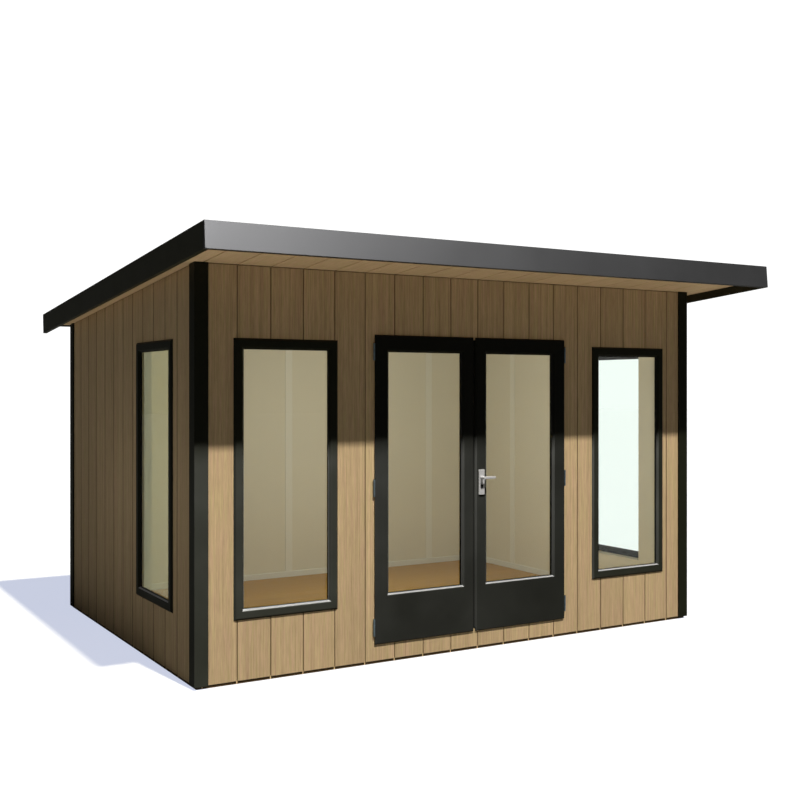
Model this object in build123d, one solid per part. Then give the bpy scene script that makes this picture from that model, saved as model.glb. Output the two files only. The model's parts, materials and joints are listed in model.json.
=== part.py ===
from build123d import *
import math
import os

# Garden office pod: a timber-clad room under a single-pitch roof, with a glazed pair of doors.
# Frame: X runs along the front from left to right, Y from front to back, Z up from the ground.
# The origin lies on the ground, at the middle of the roof's plan.  All sizes are in millimetres.

# Overall sizes
pod_width = 3640.0            # outer faces of the corner trims, along the front
pod_depth = 2560.0            # outer faces of the corner trims, front to back
roof_slope = 4.56             # degrees, falling to the back
eaves_height = 2283.0         # ground to the soffit, at the face of the front cladding

# Floor
bearer_height = 68.0
bearer_width = 70.0
bearer_count = 6
bearer_setback = 12.0         # bearer ends behind the deck's edges
deck_thickness = 22.0

# Walls
core_thickness = 80.0
cladding_thickness = 20.0
cladding_ground_gap = 14.5    # ground to the lower ends of the boards
trim_leg = 80.0               # corner trims, measured on the outside
trim_thickness = 10.0
skirting_height = 45.0
skirting_thickness = 12.0

# Roof
front_overhang = 573.0        # front cladding to the lower front edge of the fascia
side_overhang = 158.0         # corner trim to the outer face of the side fascia
fascia_tail = 166.0           # how far the side fascias run behind the back cladding
panel_tail = 50.0             # how far the roof panel runs behind the back cladding
fascia_height = 141.0
fascia_lip = 50.0             # how far the fascias hang below the soffit
fascia_kerb = 6.0             # how far they stand above the roof covering
front_fascia_nose = 67.0      # depth of the front fascia's underside
fascia_board = 20.0
side_fascia_board = 27.0
soffit_thickness = 12.0
covering_thickness = 3.0

# Rear gutter
gutter_width = 108.0
gutter_depth = 75.0
gutter_wall = 4.0
gutter_drop = 14.0            # top edge below the roof panel's upper corner

# Fixed windows
window_width = 640.0          # over the outer flange
front_window_height = 1537.0
front_window_sill = 346.0     # ground to the flange's lower edge
side_window_height = 1539.0
side_window_sill = 347.0
window_stile = 57.0           # outer edge to sight edge, splays included
window_top_rail = 58.0
window_bottom_rail = 59.0
window_proud = 12.0           # flange thickness, outside the cladding
window_lap = 15.0             # flange over the cladding, all round
window_bead = 5.0             # frame behind the glazing unit
window_fit = 2.0              # gap between frame body and opening
front_window_inset = 227.5    # corner trim to the front windows' outer edges
side_window_inset = 360.5     # front corner trim to the side windows' front edges

# Glazing units, shared by windows and doors
glass_thickness = 24.0
glass_rebate = 12.0           # how far a unit's edges sit in its frame
glass_recess = 13.0           # flange face to glass, windows
door_glass_recess = 13.0      # leaf face to glass, doors
frame_splay = 11.0            # bevel on a window's outer edges and round every pane
face_chamfer = 2.5

# Doorway and door frame
leaf_width = 702.5
leaf_height = 1808.5
leaf_foot = 113.0             # ground to the leaves' lower edges
leaf_gap = 15.0               # between the lips of the two leaves
leaf_lap = 16.0               # lips over the cladding
lip_thickness = 7.5
lip_splay = 7.0               # bevel on a lip's free edges
lip_gap = 5.5                 # back of the lip to the cladding
door_bead = 10.0              # leaf behind the glazing unit
core_gap = 5.0                # core to the door frame
meeting_gap = 8.0             # between the two cores
hinge_stile = 93.0            # outer edge to sight edge, splays included
meeting_stile = 83.0
leaf_top_rail = 97.0
leaf_bottom_rail = 291.5
frame_lining = 30.0
stop_width = 14.0
stop_gap = 5.0                # core to the stop behind it
stop_thickness = 16.0

# Hinges
hinge_height = 100.0
hinge_levels = (0.055, 0.505, 0.945)   # centres, as parts of the leaf's height
knuckle_radius = 5.0
knuckle_gap = 0.6             # barrel to the leaf's edge
barrel_proud = 5.0            # barrel to the cladding
pin_radius = 2.5
pin_clearance = 0.3
hinge_plate = 2.5
fixed_plate_reach = 20.0
knuckle_play = 0.5

# Lever set on the right leaf
lever_height = 1058.0         # ground to the lever's axis
handle_backset = 38.5         # leaf edge to the lever's axis
plate_width = 42.0
plate_height = 155.0
plate_thickness = 8.0
plate_above_axis = 50.0
plate_corner = 4.0
spindle_radius = 4.0
neck_radius = 9.0
neck_length = 44.0
neck_clearance = 0.3
spindle_bore = 6.0
lever_length = 81.0           # lever axis to the lever's free end
lever_section = 18.0          # height at the neck
lever_tip = 14.0              # height at the free end
lever_thickness = 11.0
cylinder_drop = 50.0          # lever axis to the lock cylinder
cylinder_radius = 8.5
cylinder_stem = 5.0
cylinder_tail = 16.0
cylinder_proud = 4.0

# Derived planes
slope = math.radians(roof_slope)
roof_run = front_overhang + (pod_depth - 2 * trim_thickness) + fascia_tail
roof_plan = roof_run + fascia_height * math.sin(slope)
front_face = front_overhang - roof_plan / 2          # outer face of the front cladding
back_face = front_face + pod_depth - 2 * trim_thickness
side_face = pod_width / 2 - trim_thickness           # outer face of the side cladding
core_front = front_face + cladding_thickness
core_back = back_face - cladding_thickness
core_side = side_face - cladding_thickness
room_front = core_front + core_thickness
room_back = core_back - core_thickness
room_side = core_side - core_thickness
floor_top = bearer_height + deck_thickness
roof_half_width = pod_width / 2 + side_overhang
panel_thickness = fascia_height - fascia_lip - fascia_kerb - covering_thickness - soffit_thickness
leaf_outer = leaf_gap / 2 + leaf_width               # hinge-side edge of a leaf, from the centre
opening_half = leaf_outer - leaf_lap                 # clear doorway
opening_foot = leaf_foot + leaf_lap
opening_head = leaf_foot + leaf_height - leaf_lap
frame_half = opening_half + frame_lining
frame_head = opening_head + frame_lining
leaf_front = front_face - lip_gap - lip_thickness
core_end = leaf_front + door_glass_recess + glass_thickness + door_bead
leaf_thickness = core_end - leaf_front
window_body_depth = glass_recess - window_proud + glass_thickness + window_bead
hinge_x = leaf_outer + knuckle_gap + knuckle_radius
hinge_y = front_face - barrel_proud - knuckle_radius
lever_x = leaf_gap / 2 + handle_backset


def block(x0, x1, y0, y1, z0, z1):
    """A plain box between two corners."""
    centre = Pos((x0 + x1) / 2, (y0 + y1) / 2, (z0 + z1) / 2)
    return centre * Box(abs(x1 - x0), abs(y1 - y0), abs(z1 - z0))


def on_roof(shape):
    """Moves a shape from the roof's own frame to its place.

    In the roof's frame Y runs down the slope from the fascia's lower front edge and Z is square
    to the roof, with 0 at that edge.
    """
    edge_height = eaves_height + front_overhang * math.tan(slope) - fascia_lip / math.cos(slope)
    return Pos(0, -roof_plan / 2, edge_height) * Rot(X=-roof_slope) * shape


def soffit_height(y):
    """Height of the soffit's lower face."""
    return eaves_height - (y - front_face) * math.tan(slope)


def below(shape, gap=0.0):
    """Cuts a shape off under the soffit's lower face, or that much above it."""
    span = 3 * pod_width
    cutter = on_roof(block(-span, span, -span, span, fascia_lip + gap, span))
    return shape - cutter


def mirrored(shape):
    """The same piece on the other side of the pod."""
    return mirror(shape, about=Plane.YZ)


# Floor ---------------------------------------------------------------------------------------

def floor_bearers():
    length_half = core_side - bearer_setback
    first = core_front + bearer_setback
    last = core_back - bearer_setback - bearer_width
    step = (last - first) / (bearer_count - 1)
    bearers = []
    for i in range(bearer_count):
        y = first + i * step
        bearers.append(block(-length_half, length_half, y, y + bearer_width, 0, bearer_height))
    return bearers


def floor_deck():
    return block(-core_side, core_side, core_front, core_back, bearer_height, floor_top)


# Walls ---------------------------------------------------------------------------------------

front_window_centre = pod_width / 2 - front_window_inset - window_width / 2
side_window_centre = front_face - trim_thickness + side_window_inset + window_width / 2
window_opening_half = window_width / 2 - window_lap
wall_top = eaves_height + pod_depth


def front_window_cut():
    """The right-hand window's opening through the front wall."""
    low = front_window_centre - window_opening_half
    high = front_window_centre + window_opening_half
    foot = front_window_sill + window_lap
    head = front_window_sill + front_window_height - window_lap
    return block(low, high, front_face - 1, room_front + 1, foot, head)


def side_window_cut():
    """The right-hand side window's opening through the side wall."""
    low = side_window_centre - window_opening_half
    high = side_window_centre + window_opening_half
    foot = side_window_sill + window_lap
    head = side_window_sill + side_window_height - window_lap
    return block(room_side - 1, side_face + 1, low, high, foot, head)


def front_wall_right():
    wall = block(frame_half, core_side, core_front, room_front, floor_top, wall_top)
    return below(wall, soffit_thickness) - front_window_cut()


def front_wall_header():
    wall = block(-frame_half, frame_half, core_front, room_front, frame_head, wall_top)
    return below(wall, soffit_thickness)


def right_wall():
    wall = block(room_side, core_side, room_front, room_back, floor_top, wall_top)
    return below(wall, soffit_thickness) - side_window_cut()


def back_wall():
    wall = block(-core_side, core_side, room_back, core_back, floor_top, wall_top)
    return below(wall, soffit_thickness)


def cladding_front():
    """Front boards, cut for the windows and the doorway and let in for the hinge plates."""
    sheet = below(block(-side_face, side_face, front_face, core_front, cladding_ground_gap, wall_top))
    door = block(-opening_half, opening_half, front_face - 1, core_front + 1, opening_foot, opening_head)
    sheet = sheet - door - front_window_cut() - mirrored(front_window_cut())
    for z in hinge_centres():
        sheet = sheet - hinge_housing(z) - mirrored(hinge_housing(z))
    return sheet


def cladding_right():
    sheet = block(core_side, side_face, core_front, core_back, cladding_ground_gap, wall_top)
    return below(sheet) - side_window_cut()


def cladding_back():
    sheet = block(-side_face, side_face, core_back, back_face, cladding_ground_gap, wall_top)
    return below(sheet)


def corner_trim(y_face, inward):
    """The right-hand L-shaped trim; y_face is its outer face and inward its way along Y."""
    outer = pod_width / 2
    low = cladding_ground_gap
    along_x = block(outer - trim_leg, outer, y_face, y_face + inward * trim_thickness, low, wall_top)
    along_y = block(outer - trim_thickness, outer, y_face, y_face + inward * trim_leg, low, wall_top)
    angle = along_x + along_y
    arris = angle.edges().filter_by(Axis.Z).sort_by(Axis.X)[-2:].sort_by(Axis.Y)
    corner = arris[0] if inward > 0 else arris[-1]
    return below(chamfer(corner, face_chamfer))


def skirting():
    """One run round the room, open at the doorway."""
    outer = block(-room_side, room_side, room_front, room_back, floor_top, floor_top + skirting_height)
    inset = skirting_thickness
    inner = block(-room_side + inset, room_side - inset, room_front + inset, room_back - inset,
                  floor_top - 1, floor_top + skirting_height + 1)
    doorway = block(-frame_half, frame_half, room_front - 1, room_front + inset + 1,
                    floor_top - 1, floor_top + skirting_height + 1)
    return outer - inner - doorway


# Roof ----------------------------------------------------------------------------------------

roof_inner_half = roof_half_width - side_fascia_board
panel_end = back_face + panel_tail


def behind_panel(shape):
    """Cuts a roof layer off plumb at the end of the roof panel."""
    span = 3 * pod_width
    return shape - block(-span, span, panel_end, span, -span, span)


def roof_panel():
    low = fascia_lip + soffit_thickness
    slab = block(-roof_inner_half, roof_inner_half, fascia_board, roof_run, low, low + panel_thickness)
    return behind_panel(on_roof(slab))


def roof_covering():
    low = fascia_height - fascia_kerb - covering_thickness
    sheet = block(-roof_inner_half, roof_inner_half, fascia_board, roof_run, low, low + covering_thickness)
    return behind_panel(on_roof(sheet))


def soffit():
    low = fascia_lip
    sheet = block(-roof_inner_half, roof_inner_half, fascia_board, roof_run, low, low + soffit_thickness)
    ring = behind_panel(on_roof(sheet))
    return ring - block(-core_side, core_side, core_front, core_back, 0, wall_top)


def fascia_front():
    """Face board with a deep nose under the soffit's front edge."""
    outline = Polyline(
        (0, 0),
        (front_fascia_nose, 0),
        (front_fascia_nose, fascia_lip),
        (fascia_board, fascia_lip),
        (fascia_board, fascia_height),
        (0, fascia_height),
        close=True,
    )
    section = Plane.YZ * make_face(outline)
    board = extrude(section, roof_inner_half, both=True)
    return on_roof(board)


def fascia_right():
    run = roof_run / math.cos(slope)
    board = block(roof_inner_half, roof_half_width, 0, run, 0, fascia_height)
    return on_roof(board)


def rear_gutter():
    """Square-section channel on the roof panel's end, between the side fascias."""
    corner = soffit_height(panel_end) + (soffit_thickness + panel_thickness) / math.cos(slope)
    top = corner - gutter_drop
    channel = block(-roof_inner_half, roof_inner_half, panel_end, panel_end + gutter_width,
                    top - gutter_depth, top)
    hollow = block(-pod_width, pod_width, panel_end + gutter_wall, panel_end + gutter_width - gutter_wall,
                   top - gutter_depth + gutter_wall, top + 1)
    return channel - hollow


# Windows -------------------------------------------------------------------------------------

def window_glass(low, height):
    """Glazing unit of a window whose centre is at X 0 and cladding face at Y 0."""
    half = window_width / 2 - window_stile + glass_rebate
    front = glass_recess - window_proud
    return block(-half, half, front, front + glass_thickness,
                 low + window_bottom_rail - glass_rebate, low + height - window_top_rail + glass_rebate)


def window_frame(low, height):
    """Splayed flange over the cladding, and a body in the opening that holds the glazing unit."""
    top = low + height
    half = window_width / 2
    flange = block(-half, half, -window_proud, 0, low, top)
    inset = window_lap + window_fit
    body = block(-half + inset, half - inset, 0, window_body_depth, low + inset, top - inset)
    sight_half = half - window_stile
    sight = block(-sight_half, sight_half, -window_proud - 1, window_body_depth + 1,
                  low + window_bottom_rail, top - window_top_rail)
    frame = flange + body - sight - window_glass(low, height)
    return chamfer(frame.faces().sort_by(Axis.Y)[0].edges(), frame_splay)


def front_window(piece):
    return Pos(front_window_centre, front_face, 0) * piece


def side_window(piece):
    return Pos(side_face, side_window_centre, 0) * Rot(Z=90) * piece


# Door frame ----------------------------------------------------------------------------------

stop_front = core_end + stop_gap
stop_back = stop_front + stop_thickness


def door_jamb_right():
    jamb = block(opening_half, frame_half, core_front, room_front, floor_top, frame_head)
    stop = block(opening_half - stop_width, opening_half, stop_front, stop_back, opening_foot, opening_head)
    return jamb + stop


def door_head():
    head = block(-opening_half, opening_half, core_front, room_front, opening_head, frame_head)
    half = opening_half - stop_width
    stop = block(-half, half, stop_front, stop_back, opening_head - stop_width, opening_head)
    return head + stop


def door_threshold():
    sill = block(-opening_half, opening_half, core_front, room_front, floor_top, opening_foot)
    half = opening_half - stop_width
    stop = block(-half, half, stop_front, stop_back, opening_foot, opening_foot + stop_width)
    return sill + stop


# Door leaves ---------------------------------------------------------------------------------

def door_glass():
    """Glazing unit of the right leaf."""
    front = leaf_front + door_glass_recess
    return block(leaf_gap / 2 + meeting_stile - glass_rebate, leaf_outer - hinge_stile + glass_rebate,
                 front, front + glass_thickness,
                 leaf_foot + leaf_bottom_rail - glass_rebate,
                 leaf_foot + leaf_height - leaf_top_rail + glass_rebate)


def door_leaf():
    """The right leaf: a lip that laps the cladding, and a core that stands in the doorway."""
    top = leaf_foot + leaf_height
    lip = block(leaf_gap / 2, leaf_outer, leaf_front, front_face - lip_gap, leaf_foot, top)
    free_edges = lip.faces().sort_by(Axis.Y)[0].edges().sort_by(Axis.X)[:-1]
    lip = chamfer(free_edges, lip_splay)
    hinge_edge = lip.faces().sort_by(Axis.Y)[0].edges().sort_by(Axis.X)[-1]
    lip = chamfer(hinge_edge, face_chamfer)
    core = block(meeting_gap / 2, opening_half - core_gap, front_face - lip_gap, core_end,
                 opening_foot + core_gap, opening_head - core_gap)
    sight_start = leaf_gap / 2 + meeting_stile
    sight_end = leaf_outer - hinge_stile
    sight_foot = leaf_foot + leaf_bottom_rail
    sight = block(sight_start, sight_end, leaf_front - 1, core_end + 1, sight_foot, top - leaf_top_rail)
    leaf = lip + core - sight - door_glass()
    pane_edges = leaf.faces().sort_by(Axis.Y)[0].inner_wires()[0].edges()
    return chamfer(pane_edges, frame_splay)


def spindle_hole():
    bore = Cylinder(spindle_bore, 3 * leaf_thickness, rotation=(90, 0, 0))
    return Pos(lever_x, leaf_front, lever_height) * bore


# Hinges --------------------------------------------------------------------------------------

def hinge_centres():
    return [leaf_foot + level * leaf_height for level in hinge_levels]


def upright(radius, low, high):
    """A vertical round bar on the right leaf's hinge axis."""
    return Pos(hinge_x, hinge_y, (low + high) / 2) * Cylinder(radius, high - low)


def hinge_housing(z):
    """The fixed plate of one hinge on the right, flush with the cladding's face."""
    low = z - hinge_height / 2
    return block(hinge_x - fixed_plate_reach, hinge_x + hinge_plate / 2, front_face, front_face + hinge_plate,
                 low, low + hinge_height)


def fixed_hinge(z):
    """Housed plate, outer knuckles and pin of one hinge on the right."""
    low = z - hinge_height / 2
    third = hinge_height / 3
    plate = hinge_housing(z)
    web = block(hinge_x - hinge_plate / 2, hinge_x + hinge_plate / 2, hinge_y, front_face, low, low + third)
    upper_web = Pos(0, 0, 2 * third) * web
    knuckles = upright(knuckle_radius, low, low + third)
    knuckles += upright(knuckle_radius, low + 2 * third, low + hinge_height)
    return plate + web + upper_web + knuckles + upright(pin_radius, low, low + hinge_height)


def moving_hinge(z):
    """Plate on the leaf's edge and middle knuckle of one hinge on the right."""
    half = hinge_height / 6 - knuckle_play
    knuckle = upright(knuckle_radius, z - half, z + half)
    plate = block(leaf_outer, leaf_outer + hinge_plate, leaf_front + face_chamfer, front_face - lip_gap,
                  z - half, z + half)
    bore = upright(pin_radius + pin_clearance, z - hinge_height, z + hinge_height)
    return knuckle + plate - bore


# Lever set -----------------------------------------------------------------------------------

def lever_plate(face, out):
    """Back plate on one face of the right leaf; out is -1 for outside and +1 for inside."""
    low = lever_height + plate_above_axis - plate_height
    plate = block(lever_x - plate_width / 2, lever_x + plate_width / 2, face, face + out * plate_thickness,
                  low, low + plate_height)
    plate = fillet(plate.edges().filter_by(Axis.Y), plate_corner)
    hole = Cylinder(neck_radius + neck_clearance, 3 * plate_thickness, rotation=(90, 0, 0))
    return plate - Pos(lever_x, face, lever_height) * hole


def lock_cylinder(face, out):
    """Round barrel with a narrow tail, standing through the plate."""
    barrel = Cylinder(cylinder_radius, plate_thickness + cylinder_proud, rotation=(90, 0, 0))
    reach = plate_thickness + cylinder_proud
    z = lever_height - cylinder_drop
    stem = block(-cylinder_stem, cylinder_stem, -reach / 2, reach / 2, -cylinder_tail, 0)
    return Pos(lever_x, face + out * reach / 2, z) * (barrel + stem)


def handle_set():
    outside = lever_plate(leaf_front, -1) + lock_cylinder(leaf_front, -1)
    inside = lever_plate(core_end, 1) + lock_cylinder(core_end, 1)
    return [outside, inside]


def lever_arm(face, out):
    """Neck and lever on one side, pointing to the hinges."""
    neck = Cylinder(neck_radius, neck_length - neck_clearance, rotation=(90, 0, 0))
    neck = Pos(lever_x, face + out * (neck_length + neck_clearance) / 2, lever_height) * neck
    outline = Polyline(
        (0, -lever_section / 2),
        (lever_length, -lever_tip / 2),
        (lever_length, lever_tip / 2),
        (0, lever_section / 2),
        close=True,
    )
    arm = extrude(Plane.XZ * make_face(outline), lever_thickness / 2, both=True)
    arm = fillet(arm.edges().sort_by(Axis.X)[4:8], lever_thickness / 3)
    y = face + out * (neck_length - lever_thickness / 2)
    return neck + Pos(lever_x, y, lever_height) * arm


def door_lever():
    spindle = Pos(lever_x, (core_end + leaf_front) / 2, lever_height)
    spindle = spindle * Cylinder(spindle_radius, leaf_thickness + plate_thickness, rotation=(90, 0, 0))
    return spindle + lever_arm(leaf_front, -1) + lever_arm(core_end, 1)


# Assembly ------------------------------------------------------------------------------------

def nodes():
    """Every piece by name, in building order."""
    parts = {
        "floor_bearers": floor_bearers(),
        "floor_deck": floor_deck(),
        "front_wall_left": mirrored(front_wall_right()),
        "front_wall_right": front_wall_right(),
        "front_wall_header": front_wall_header(),
        "left_wall": mirrored(right_wall()),
        "right_wall": right_wall(),
        "back_wall": back_wall(),
        "cladding_front": cladding_front(),
        "cladding_left": mirrored(cladding_right()),
        "cladding_right": cladding_right(),
        "cladding_back": cladding_back(),
        "skirting": skirting(),
        "roof_panel": roof_panel(),
        "roof_covering": roof_covering(),
        "soffit": soffit(),
        "fascia_front": fascia_front(),
        "fascia_left": mirrored(fascia_right()),
        "fascia_right": fascia_right(),
        "rear_gutter": rear_gutter(),
        "door_jamb_left": mirrored(door_jamb_right()),
        "door_jamb_right": door_jamb_right(),
        "door_head": door_head(),
        "door_threshold": door_threshold(),
        "left_door_leaf": mirrored(door_leaf()),
        "left_door_glass": mirrored(door_glass()),
        "right_door_leaf": door_leaf() - spindle_hole(),
        "right_door_glass": door_glass(),
        "handle_set": handle_set(),
        "door_lever": door_lever(),
    }
    front_trim = corner_trim(front_face - trim_thickness, 1)
    back_trim = corner_trim(back_face + trim_thickness, -1)
    parts["corner_trim_front_left"] = mirrored(front_trim)
    parts["corner_trim_front_right"] = front_trim
    parts["corner_trim_back_left"] = mirrored(back_trim)
    parts["corner_trim_back_right"] = back_trim
    for name, make in (("frame", window_frame), ("glass", window_glass)):
        front = front_window(make(front_window_sill, front_window_height))
        side = side_window(make(side_window_sill, side_window_height))
        parts["window_" + name + "_front_left"] = mirrored(front)
        parts["window_" + name + "_front_right"] = front
        parts["window_" + name + "_left"] = mirrored(side)
        parts["window_" + name + "_right"] = side
    fixed = [fixed_hinge(z) for z in hinge_centres()]
    moving = [moving_hinge(z) for z in hinge_centres()]
    parts["hinges_fixed"] = fixed + [mirrored(hinge) for hinge in fixed]
    parts["left_door_hinges"] = [mirrored(hinge) for hinge in moving]
    parts["right_door_hinges"] = moving
    return parts


os.makedirs("parts", exist_ok=True)
for name, piece in nodes().items():
    shape = Compound(piece) if isinstance(piece, list) else piece
    export_step(shape, os.path.join("parts", name + ".step"))
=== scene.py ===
import json
import math
import random

import bmesh
import bpy
from bpy.props import FloatProperty, FloatVectorProperty, IntProperty, PointerProperty
from mathutils import Matrix, Vector


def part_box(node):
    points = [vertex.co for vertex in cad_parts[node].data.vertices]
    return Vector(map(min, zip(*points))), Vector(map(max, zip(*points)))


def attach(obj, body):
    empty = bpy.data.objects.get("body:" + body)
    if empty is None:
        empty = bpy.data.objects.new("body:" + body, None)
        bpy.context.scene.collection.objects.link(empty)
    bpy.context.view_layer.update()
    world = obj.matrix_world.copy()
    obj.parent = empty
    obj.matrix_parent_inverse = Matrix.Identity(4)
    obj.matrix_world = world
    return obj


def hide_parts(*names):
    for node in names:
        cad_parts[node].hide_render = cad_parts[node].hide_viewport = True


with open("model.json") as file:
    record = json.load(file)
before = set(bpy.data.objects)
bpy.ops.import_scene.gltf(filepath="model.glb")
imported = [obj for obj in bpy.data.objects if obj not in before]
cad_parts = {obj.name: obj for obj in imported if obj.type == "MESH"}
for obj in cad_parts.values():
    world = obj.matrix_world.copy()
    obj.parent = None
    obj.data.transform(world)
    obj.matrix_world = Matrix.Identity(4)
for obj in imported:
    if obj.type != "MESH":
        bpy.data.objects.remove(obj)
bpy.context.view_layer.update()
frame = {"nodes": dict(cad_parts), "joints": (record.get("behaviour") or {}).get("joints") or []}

bl_info = {
    "name": "Garden office pod",
    "version": (1, 0, 0),
    "blender": (4, 5, 0),
    "location": "3D View > Sidebar > Garden pod",
    "description": "Builds the boards, joinery, glazing and roof of a garden office pod",
    "category": "Add Mesh",
}


def mm(value):
    """Millimetres as metres."""
    return value / 1000.0


def spans(node):
    """The X, Y and Z ranges of a CAD node."""
    return tuple(zip(*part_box(node)))


STAY = Matrix()                       # the place of a shape that is drawn where it belongs
TOUCH = 1e-6                          # points nearer than this are one point
SLIVER = mm(8)                        # a cut this near a board's edge runs out past the edge
PAINTED_SHADE_REACH = 1.6                     # height at which the painted shade at the boards' foot ends
BOARD_TONES = (0.05, 1.0)             # range of the numbers that give boards their own tone
BACK_STRIPS = (-1.445, -0.1, 1.245)   # middle of each strip on the back wall's lining
SIDE_STRIP = 0.785                    # middle of the strip on the side walls' lining
FLOOR_REACH = 60.0                    # middle of the stage floor to its edges
WHITE = (1.0, 1.0, 1.0, 1.0)
WALLS = {                             # each wall's own X, left to right from outside, and its Z
    "front": ((1, 0, 0), (0, -1, 0)),
    "back": ((-1, 0, 0), (0, 1, 0)),
    "right": ((0, 1, 0), (1, 0, 0)),
    "left": ((0, -1, 0), (-1, 0, 0)),
}

# Places that the frame gives ---------------------

BOARD_X, (BOARD_FRONT, CORE_FRONT), (BOARD_FOOT, FRONT_WALL_TOP) = spans("cladding_front")
CORE_BACK, BOARD_BACK = spans("cladding_back")[1]
SIDE_FACE = BOARD_X[1]
CORE_SIDE = spans("cladding_right")[0][0]
ROOM_BACK = spans("back_wall")[1][0]
ROOM_SIDE = spans("right_wall")[0][0]
ROOM_FRONT = spans("front_wall_right")[1][1]
TRIM_SIDE = spans("corner_trim_front_right")[0][1]
ROOF_INNER, ROOF_SIDE = spans("fascia_right")[0]
ROOF_FRONT = spans("fascia_front")[1][0]
ROOF_BACK = spans("fascia_right")[1][1]
LEAF_X, (LEAF_FRONT, LEAF_BACK), LEAF_Z = spans("right_door_leaf")
PLATE_X, _, PLATE_Z = spans("handle_set")
LEVER_TIP = spans("door_lever")[0][1]
joint_places = {joint["name"]: joint["pos_m"] for joint in frame["joints"]}
HINGE_X, HINGE_Y, _ = joint_places["right_door_hinge"]
AXIS_X, _, AXIS_Z = joint_places["lever_turn"]


# Sizes and finishes that a user would change -----

def length(name, description, millimetres):
    return FloatProperty(name=name, description=description, default=mm(millimetres), min=0.0,
                         unit="LENGTH", subtype="DISTANCE", precision=4)


def colour(name, description, *default):
    return FloatVectorProperty(name=name, description=description, default=default, size=3,
                               min=0.0, max=1.0, subtype="COLOR")


class PodSizes(bpy.types.PropertyGroup):
    roof_slope: FloatProperty(name="Roof slope", description="Fall of the roof to the back",
                              default=math.radians(4.56), subtype="ANGLE", unit="ROTATION")
    fascia_height: length("Fascia height", "Height of the fascias", 141)
    fascia_board: length("Fascia board", "Thickness of the front fascia", 20)
    fascia_lip: length("Fascia lip", "How far the fascias hang below the soffit", 50)
    fascia_nose: length("Fascia nose", "Depth of the front fascia's underside", 28)
    gutter_wall: length("Gutter wall", "Thickness of the gutter", 4)
    board_cover: length("Board cover", "Width of one board between joints", 200)
    front_joint: length("Front joint", "Left corner of the boards to the first joint", 39.7)
    side_joint: length("Side joint", "Front face of the boards to the first side joint", 84.9)
    joint_gap: length("Joint gap", "Open gap at the bottom of each joint", 3.5)
    joint_chamfer: length("Joint chamfer", "Chamfer on the face edges of each board", 2)
    tongue: length("Tongue", "Thickness of the boards behind the V joint", 8)
    joint_key: length("Joint key", "Width of the loose tongue under each joint", 6)
    key_reach: length("Key reach", "How far the loose tongues come out of the joints", 6.5)
    soffit_board: length("Soffit board", "Thickness of the soffit boards", 12)
    soffit_shift: length("Soffit shift", "Soffit joints to the right of the wall joints", 7)
    soffit_joint: length("Soffit joint", "Open gap of the soffit joints", 8)
    soffit_tongue: length("Soffit tongue", "Thickness of the boards behind the joint", 2)
    base_strip: length("Base strip", "Height of the strip under the boards", 12)
    base_recess: length("Base recess", "How far the base strip stands behind the boards", 7)
    window_lap: length("Window lap", "Window flange over the boards", 15)
    window_stile: length("Window stile", "Outer edge to sight edge of the stiles", 57)
    window_top_rail: length("Window top rail", "Outer edge to sight edge", 58)
    window_bottom_rail: length("Window bottom rail", "Outer edge to sight edge", 59)
    window_proud: length("Window flange", "Thickness of the flange outside the boards", 12)
    body_fit: length("Body fit", "Window body to the opening", 2)
    frame_splay: length("Frame splay", "Bevel round the windows and round every pane", 11)
    leaf_lap: length("Leaf lap", "Door lips over the boards", 16)
    hinge_stile: length("Hinge stile", "Outer edge to sight edge", 93)
    meeting_stile: length("Meeting stile", "Outer edge to sight edge", 83)
    leaf_top_rail: length("Leaf top rail", "Outer edge to sight edge", 97)
    leaf_bottom_rail: length("Leaf bottom rail", "Outer edge to sight edge", 291.5)
    leaf_gap: length("Leaf gap", "Between the lips of the two leaves", 15)
    lip_thickness: length("Lip", "Thickness of the lip that laps the boards", 7.5)
    lip_splay: length("Lip splay", "Bevel on the free edges of a lip", 7)
    hinge_edge: length("Hinge edge", "Bevel on the edge of a lip at its hinges", 2.5)
    core_gap: length("Core gap", "Leaf core to the doorway", 5)
    glass_rebate: length("Glass rebate", "How far the glass sits in its frame", 12)
    # The strip under each pane is a pale matte strip, a painted highlight of the sun on the splay.
    strip_width: length("Strip width", "Width of the metal strip under each pane", 10)
    strip_inset: length("Strip inset", "Sight edge to the metal strip, down the splay", 2.5)
    strip_thickness: length("Strip thickness", "Metal strip on the splay", 0.6)
    gasket: length("Gasket", "Width of the rubber strip round each pane", 3)
    arris: length("Arris", "Bevel on the edges of windows and leaves", 0.4)
    paint_edge: length("Painted edge", "Rounding of the corner trims' edges", 1.5)
    trim_leg: length("Trim leg", "Width of each face of a corner trim", 80)
    trim_thickness: length("Trim thickness", "Thickness of the corner trims", 10)
    floor_board: length("Floor board", "Width of one floor board", 140)
    cover_strip: length("Cover strip", "Width of the strips over the lining joints", 62)
    strip_proud: length("Cover strip thickness", "Thickness of the same strips", 4)
    skirting: length("Skirting", "Thickness of the skirting", 12)
    hinge_height: length("Hinge height", "Height of each hinge", 100)
    knuckle_radius: length("Knuckle radius", "Radius of the hinge barrels", 5)
    plate: length("Handle plate", "Thickness of the handle plates", 8)
    lever_reach: length("Lever reach", "Leaf to the lever's outer face", 44)
    round_steps: IntProperty(name="Round steps", description="Sides of round pieces",
                             default=32, min=12)


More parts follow.
